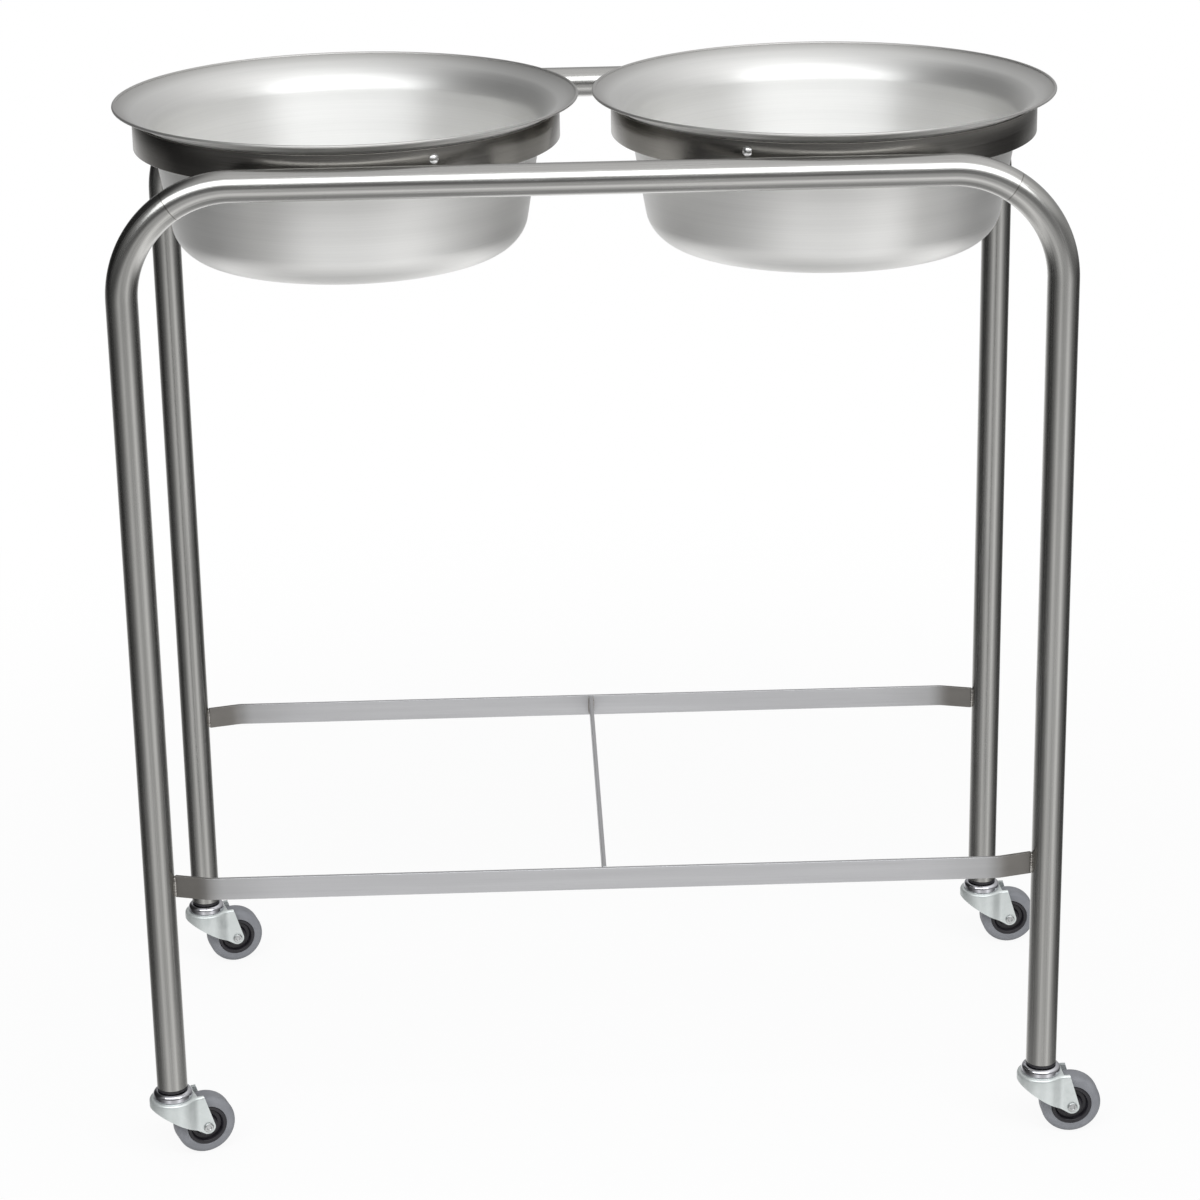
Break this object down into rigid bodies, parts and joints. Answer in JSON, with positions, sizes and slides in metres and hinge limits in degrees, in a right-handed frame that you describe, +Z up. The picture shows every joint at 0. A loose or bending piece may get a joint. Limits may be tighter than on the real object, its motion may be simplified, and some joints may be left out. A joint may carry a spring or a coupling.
{
  "type": "double basin stand",
  "caption": "Mobile stand of bent steel tube that holds lift-out wash basins side by side in flat hoops, with a low H brace and swivel casters.",
  "frame": {"origin": "on the floor, in the middle of the four legs", "axes": "+Z up, +X along the rails to the right, -Y to the front"},
  "size_m": [0.8052, 0.4186, 0.8638],
  "materials": {
    "tube_steel": "satin stainless tube, polished along its length",
    "strip_steel": "brushed stainless strip",
    "basin_steel": "spun stainless, satin with fine rings",
    "bright_steel": "bright turned steel",
    "chrome": "bright plated",
    "zinc_plate": "pale zinc plate",
    "black_plastic": "moulded",
    "grey_rubber": "smooth moulded rubber"
  },
  "bodies": {
    "frame": {"front_frame_tube": "tube_steel", "rear_frame_tube": "tube_steel", "front_brace_bar": "strip_steel", "rear_brace_bar": "strip_steel", "cross_brace_bar": "strip_steel", "left_basin_ring": "strip_steel", "right_basin_ring": "strip_steel", "left_ring_rivet": "bright_steel", "right_ring_rivet": "bright_steel", "front_left_socket": "black_plastic", "front_left_stem": "bright_steel", "front_left_bearing_cup": "chrome", "front_right_socket": "black_plastic", "front_right_stem": "bright_steel", "front_right_bearing_cup": "chrome", "rear_left_socket": "black_plastic", "rear_left_stem": "bright_steel", "rear_left_bearing_cup": "chrome", "rear_right_socket": "black_plastic", "rear_right_stem": "bright_steel", "rear_right_bearing_cup": "chrome"},
    "left_basin": {"left_basin": "basin_steel"},
    "right_basin": {"right_basin": "basin_steel"},
    "front_left_caster": {"front_left_ball_race": "bright_steel", "front_left_fork": "zinc_plate", "front_left_axle": "bright_steel", "front_left_axle_bush": "bright_steel"},
    "front_left_wheel": {"front_left_hub": "black_plastic", "front_left_tyre": "grey_rubber"},
    "front_right_caster": {"front_right_ball_race": "bright_steel", "front_right_fork": "zinc_plate", "front_right_axle": "bright_steel", "front_right_axle_bush": "bright_steel"},
    "front_right_wheel": {"front_right_hub": "black_plastic", "front_right_tyre": "grey_rubber"},
    "rear_left_caster": {"rear_left_ball_race": "bright_steel", "rear_left_fork": "zinc_plate", "rear_left_axle": "bright_steel", "rear_left_axle_bush": "bright_steel"},
    "rear_left_wheel": {"rear_left_hub": "black_plastic", "rear_left_tyre": "grey_rubber"},
    "rear_right_caster": {"rear_right_ball_race": "bright_steel", "rear_right_fork": "zinc_plate", "rear_right_axle": "bright_steel", "rear_right_axle_bush": "bright_steel"},
    "rear_right_wheel": {"rear_right_hub": "black_plastic", "rear_right_tyre": "grey_rubber"}
  },
  "joints": [
    {"name": "left_basin_lift", "type": "slide", "parent": "frame", "child": "left_basin", "axis": [0, 0, 1], "range_m": [0, 0.15]},
    {"name": "right_basin_lift", "type": "slide", "parent": "frame", "child": "right_basin", "axis": [0, 0, 1], "range_m": [0, 0.15]},
    {"name": "front_left_swivel", "type": "hinge", "parent": "frame", "child": "front_left_caster", "pos_m": [-0.367, -0.1875, 0.0549], "axis": [0, 0, 1], "continuous": true},
    {"name": "front_left_roll", "type": "hinge", "parent": "front_left_caster", "child": "front_left_wheel", "pos_m": [-0.34336, -0.17795, 0.0254], "axis": [-0.3746, 0.9272, 0], "continuous": true},
    {"name": "front_right_swivel", "type": "hinge", "parent": "frame", "child": "front_right_caster", "pos_m": [0.367, -0.1875, 0.0549], "axis": [0, 0, 1], "continuous": true},
    {"name": "front_right_roll", "type": "hinge", "parent": "front_right_caster", "child": "front_right_wheel", "pos_m": [0.39248, -0.18661, 0.0254], "axis": [-0.0349, 0.9994, 0], "continuous": true},
    {"name": "rear_left_swivel", "type": "hinge", "parent": "frame", "child": "rear_left_caster", "pos_m": [-0.367, 0.1875, 0.0549], "axis": [0, 0, 1], "continuous": true},
    {"name": "rear_left_roll", "type": "hinge", "parent": "rear_left_caster", "child": "rear_left_wheel", "pos_m": [-0.34275, 0.19538, 0.0254], "axis": [-0.309, 0.9511, 0], "continuous": true},
    {"name": "rear_right_swivel", "type": "hinge", "parent": "frame", "child": "rear_right_caster", "pos_m": [0.367, 0.1875, 0.0549], "axis": [0, 0, 1], "continuous": true},
    {"name": "rear_right_roll", "type": "hinge", "parent": "rear_right_caster", "child": "rear_right_wheel", "pos_m": [0.39244, 0.18928, 0.0254], "axis": [-0.0698, 0.9976, 0], "continuous": true}
  ]
}
